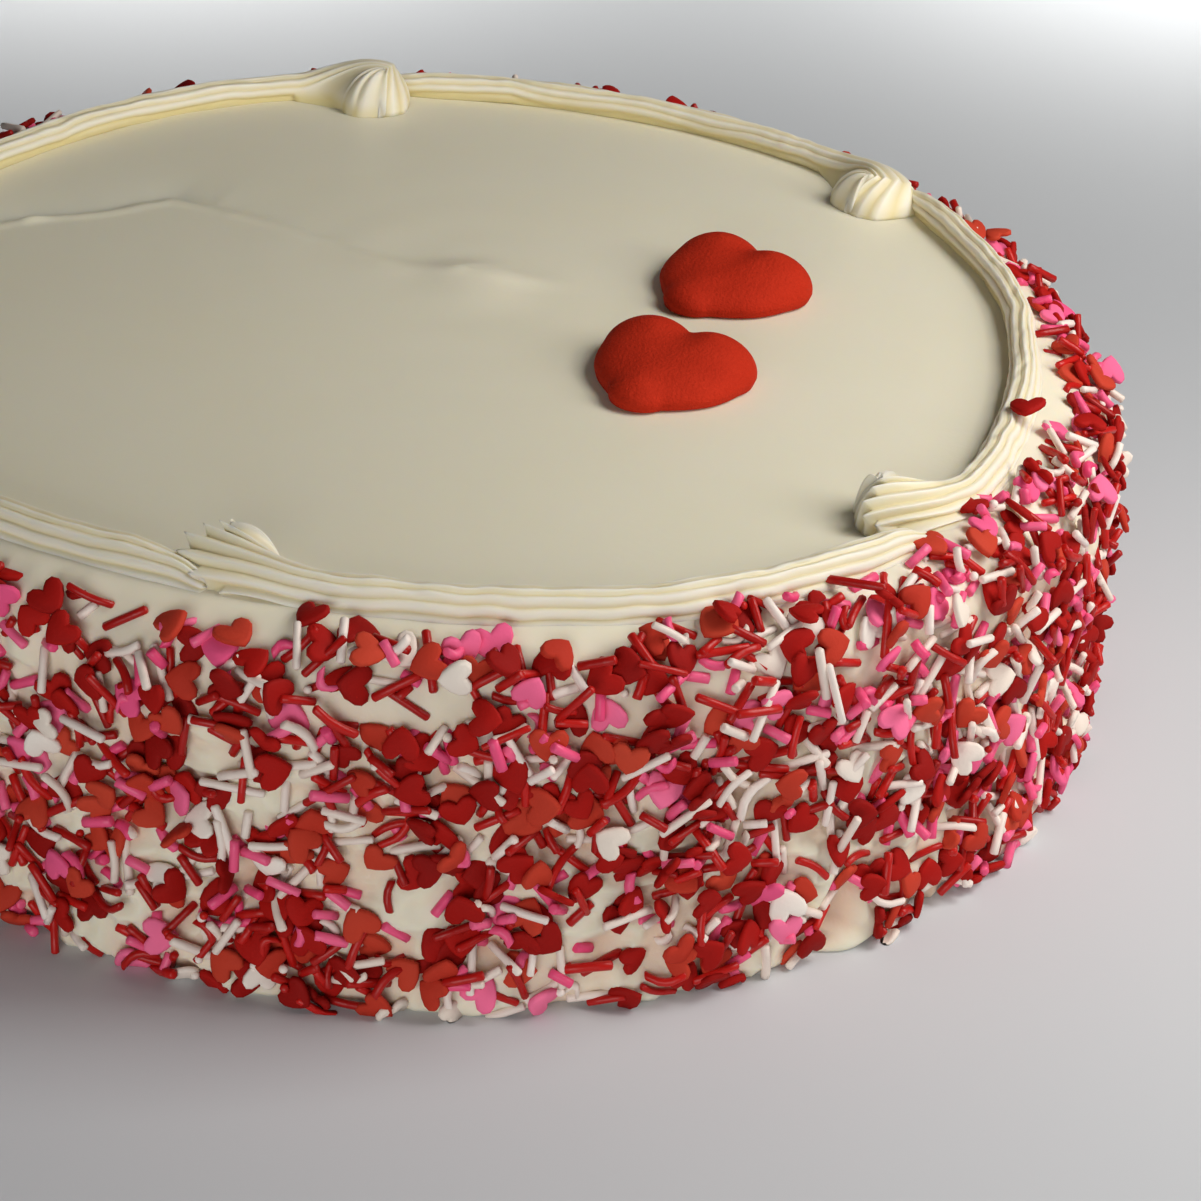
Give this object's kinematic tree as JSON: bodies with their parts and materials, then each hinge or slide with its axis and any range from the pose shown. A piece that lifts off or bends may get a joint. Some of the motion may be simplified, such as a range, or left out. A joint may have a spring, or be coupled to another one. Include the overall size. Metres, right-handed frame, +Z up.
{
  "type": "red velvet cake",
  "caption": "Round uncut layer cake in ivory icing, with a sprinkle-coated side, a piped top border and domed candy hearts on top.",
  "frame": {"origin": "middle of the flat base", "axes": "+Z up through the top of the cake, the shown front faces -Y, the candy hearts lie towards +X"},
  "size_m": [0.2265, 0.2284, 0.0648],
  "materials": {
    "icing": "soft satin buttercream or cream cheese icing, smooth on top and pulled rough at the side",
    "piped_icing": "soft satin piped icing with sharp ridges",
    "candy": "matt pressed sugar candy with a fine grain",
    "sprinkles_red": "pressed sugar hearts and short sugar strands, matt to satin",
    "sprinkles_pink": "pressed sugar hearts and short sugar strands, matt to satin",
    "sprinkles_white": "pressed sugar hearts and short sugar strands, matt to satin"
  },
  "bodies": {
    "root": {"iced_cake": "icing", "piped_border_1": "piped_icing", "piped_border_2": "piped_icing", "piped_border_3": "piped_icing", "piped_border_4": "piped_icing", "piped_border_5": "piped_icing", "candy_heart_near": "candy", "candy_heart_far": "candy"}
  },
  "joints": []
}
